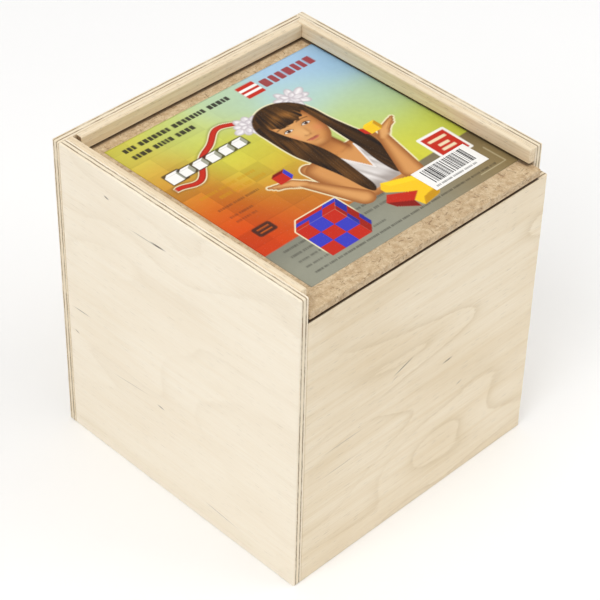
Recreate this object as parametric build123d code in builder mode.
from build123d import *
import os

# A plywood box with a sliding lid, full of building cubes, in millimetres.
# The origin is on the table under the middle of the box. +Z is up, +X is to the right
# and the front is at -Y, where the lid slides out.

os.makedirs("parts", exist_ok=True)

# overall sizes of the box, outside the walls
box_width = 130.0
box_depth = 130.0
box_height = 139.0

# the case
wall_thickness = 4.0
bottom_thickness = 4.0
corner_round = 1.0        # sanding on the upright outer corners
edge_round = 0.6          # sanding on the outer top and bottom edges

# the sliding lid and the strips that guide it
lid_thickness = 3.2
lid_round = 0.4           # sanding on the lid's upright corners
slide_gap_above = 1.0     # between the lid and the strips over it
slide_gap_below = 0.2     # between the lid and the strips under it
lid_side_gap = 0.7        # on the left and on the right
lid_back_gap = 0.5
front_wall_gap = 1.4      # between the front wall's top and the lid
rail_thickness = 3.0
upper_rail_height = 6.4
lower_rail_height = 3.2
rail_round = 0.7
back_rail_notch = 1.4     # the back strip is cut this much short at its left end

# the printed label and the sticker on it
label_thickness = 0.12
label_left_margin = 10.0
label_right_margin = 1.6
label_front_margin = 9.3
label_back_margin = 7.5
sticker_width = 28.7
sticker_depth = 13.2
sticker_thickness = 0.1
sticker_right_offset = 7.8
sticker_front_offset = 8.0

# the cubes
cubes_per_side = 3
cube_gap = 0.1            # between neighbours in a layer
side_play = 0.9           # between the stack and each wall
head_play = 1.0           # between the stack and the strips over it
cube_round = 1.2

# what follows from those sizes
half_width = box_width / 2
half_depth = box_depth / 2
inner_width = box_width - 2 * wall_thickness
inner_depth = box_depth - 2 * wall_thickness
upper_rail_bottom = box_height - upper_rail_height
lid_top = upper_rail_bottom - slide_gap_above
lid_bottom = lid_top - lid_thickness
lower_rail_top = lid_bottom - slide_gap_below
lower_rail_bottom = lower_rail_top - lower_rail_height
front_wall_height = lid_bottom - front_wall_gap
lid_width = inner_width - 2 * lid_side_gap
lid_front = -half_depth
lid_back = half_depth - wall_thickness - lid_back_gap
lid_depth = lid_back - lid_front

gaps_between_cubes = (cubes_per_side - 1) * cube_gap
cube_room = min(
    inner_width - 2 * side_play - gaps_between_cubes,
    inner_depth - 2 * side_play - gaps_between_cubes,
    lower_rail_bottom - head_play - bottom_thickness,
)
cube_edge = cube_room / cubes_per_side
cube_pitch = cube_edge + cube_gap

upward = (0, 0, 1)


def save(piece, name):
    """Label a finished piece and write it to its own file."""
    piece.part.label = name
    export_step(piece.part, f"parts/{name}.step")


# ---------------------------------------------------------------- the four walls
# Each wall starts at its own outer corner and runs clockwise, seen from above, until it
# meets the inside of the next wall, so every corner shows one ply edge.


def is_exposed(edge, plane, length):
    """True for an edge that is neither on the inner face nor on the covered end."""
    centre = plane.to_local_coords(edge.center())
    on_covered_end = abs(centre.X - length) < 0.01
    on_inner_face = abs(centre.Y + wall_thickness) < 0.01
    return not (on_covered_end or on_inner_face)


def make_wall(plane, length, height):
    """A panel along local +X whose outer face is at local Y = 0."""
    with BuildPart() as wall:
        with BuildSketch(plane) as outline:
            with Locations((length / 2, -wall_thickness / 2)):
                Rectangle(length, wall_thickness)
            outer_corner = outline.vertices().sort_by_distance((0, 0, 0))[0]
            fillet(outer_corner, corner_round)
        extrude(amount=height)
        top_edges = wall.faces().sort_by(Axis.Z)[-1].edges()
        bottom_edges = wall.faces().sort_by(Axis.Z)[0].edges()
        sanded = [e for e in top_edges + bottom_edges if is_exposed(e, plane, length)]
        fillet(sanded, edge_round)
    return wall


wall_run_depth = box_depth - wall_thickness
wall_run_width = box_width - wall_thickness

wall_places = {
    "left_wall": ((-half_width, -half_depth, 0), (0, 1, 0), wall_run_depth, box_height),
    "back_wall": ((-half_width, half_depth, 0), (1, 0, 0), wall_run_width, box_height),
    "right_wall": ((half_width, half_depth, 0), (0, -1, 0), wall_run_depth, box_height),
    "front_wall": ((half_width, -half_depth, 0), (-1, 0, 0), wall_run_width, front_wall_height),
}

for name, (corner, direction, length, height) in wall_places.items():
    wall_plane = Plane(origin=corner, x_dir=direction, z_dir=upward)
    save(make_wall(wall_plane, length, height), name)

# ---------------------------------------------------------------- the bottom
with BuildPart() as bottom_panel:
    with BuildSketch():
        Rectangle(inner_width, inner_depth)
    extrude(amount=bottom_thickness)
save(bottom_panel, "bottom_panel")

# ---------------------------------------------------------------- the strips
# The side strips run to the back wall. The upper ones start where the right wall starts,
# over the front wall, and the back one lies between them.


def make_rail(x_range, y_range, z_range, rounded):
    """A strip in a box of space, sanded along the edges that rounded picks."""
    with BuildPart() as rail:
        with BuildSketch(Plane.XY.offset(z_range[0])):
            with Locations((sum(x_range) / 2, sum(y_range) / 2)):
                Rectangle(x_range[1] - x_range[0], y_range[1] - y_range[0])
        extrude(amount=z_range[1] - z_range[0])
        fillet(rounded(rail), rail_round)
    return rail


inner_right = inner_width / 2
inner_back = inner_depth / 2
rail_front = -inner_depth / 2
opening_right = inner_right - rail_thickness
opening_back = inner_back - rail_thickness
upper_heights = (upper_rail_bottom, box_height)
lower_heights = (lower_rail_bottom, lower_rail_top)

side_ranges = {
    "left": (-inner_right, -opening_right),
    "right": (opening_right, inner_right),
}


def inner_top_edge(axis, end):
    """Picks a strip's top edge that faces the middle of the box."""
    return lambda rail: rail.faces().sort_by(Axis.Z)[-1].edges().sort_by(axis)[end]


for side, x_range in side_ranges.items():
    inward = -1 if side == "left" else 0
    y_range = (rail_front, inner_back)
    upper = make_rail(x_range, y_range, upper_heights, inner_top_edge(Axis.X, inward))
    save(upper, f"{side}_upper_rail")
    lower = make_rail(x_range, y_range, lower_heights, inner_top_edge(Axis.X, inward))
    save(lower, f"{side}_lower_rail")

back_upper_rail = make_rail(
    (-opening_right + back_rail_notch, opening_right),
    (opening_back, inner_back),
    upper_heights,
    inner_top_edge(Axis.Y, 0),
)
save(back_upper_rail, "back_upper_rail")

# ---------------------------------------------------------------- the lid
lid_middle = (0, (lid_front + lid_back) / 2)

with BuildPart() as lid:
    with BuildSketch(Plane.XY.offset(lid_bottom)):
        with Locations(lid_middle):
            RectangleRounded(lid_width, lid_depth, lid_round)
    extrude(amount=lid_thickness)
save(lid, "lid")

label_left = -lid_width / 2 + label_left_margin
label_right = lid_width / 2 - label_right_margin
label_front = lid_front + label_front_margin
label_back = lid_back - label_back_margin
label_top = lid_top + label_thickness

with BuildPart() as label:
    with BuildSketch(Plane.XY.offset(lid_top)):
        with Locations(((label_left + label_right) / 2, (label_front + label_back) / 2)):
            Rectangle(label_right - label_left, label_back - label_front)
    extrude(amount=label_thickness)
save(label, "label")

sticker_right = label_right - sticker_right_offset
sticker_front = label_front + sticker_front_offset

with BuildPart() as barcode_sticker:
    with BuildSketch(Plane.XY.offset(label_top)):
        with Locations((sticker_right - sticker_width / 2, sticker_front + sticker_depth / 2)):
            Rectangle(sticker_width, sticker_depth)
    extrude(amount=sticker_thickness)
save(barcode_sticker, "barcode_sticker")

# ---------------------------------------------------------------- the cubes
# Columns run from left to right, rows from front to back and layers from the bottom up.
middle = (cubes_per_side + 1) / 2

for column in range(1, cubes_per_side + 1):
    for row in range(1, cubes_per_side + 1):
        for layer in range(1, cubes_per_side + 1):
            centre = ((column - middle) * cube_pitch, (row - middle) * cube_pitch)
            cube_floor = bottom_thickness + (layer - 1) * cube_edge
            with BuildPart() as cube:
                with BuildSketch(Plane.XY.offset(cube_floor)):
                    with Locations(centre):
                        Rectangle(cube_edge, cube_edge)
                extrude(amount=cube_edge)
                fillet(cube.edges(), cube_round)
            save(cube, f"cube_{column}_{row}_{layer}")

print(f"cube edge {cube_edge:.2f}, front wall height {front_wall_height:.2f}")
print(f"lid {lid_width:.1f} x {lid_depth:.1f}, from z {lid_bottom:.2f} to {lid_top:.2f}")
print(f"label {label_right - label_left:.1f} x {label_back - label_front:.1f}")
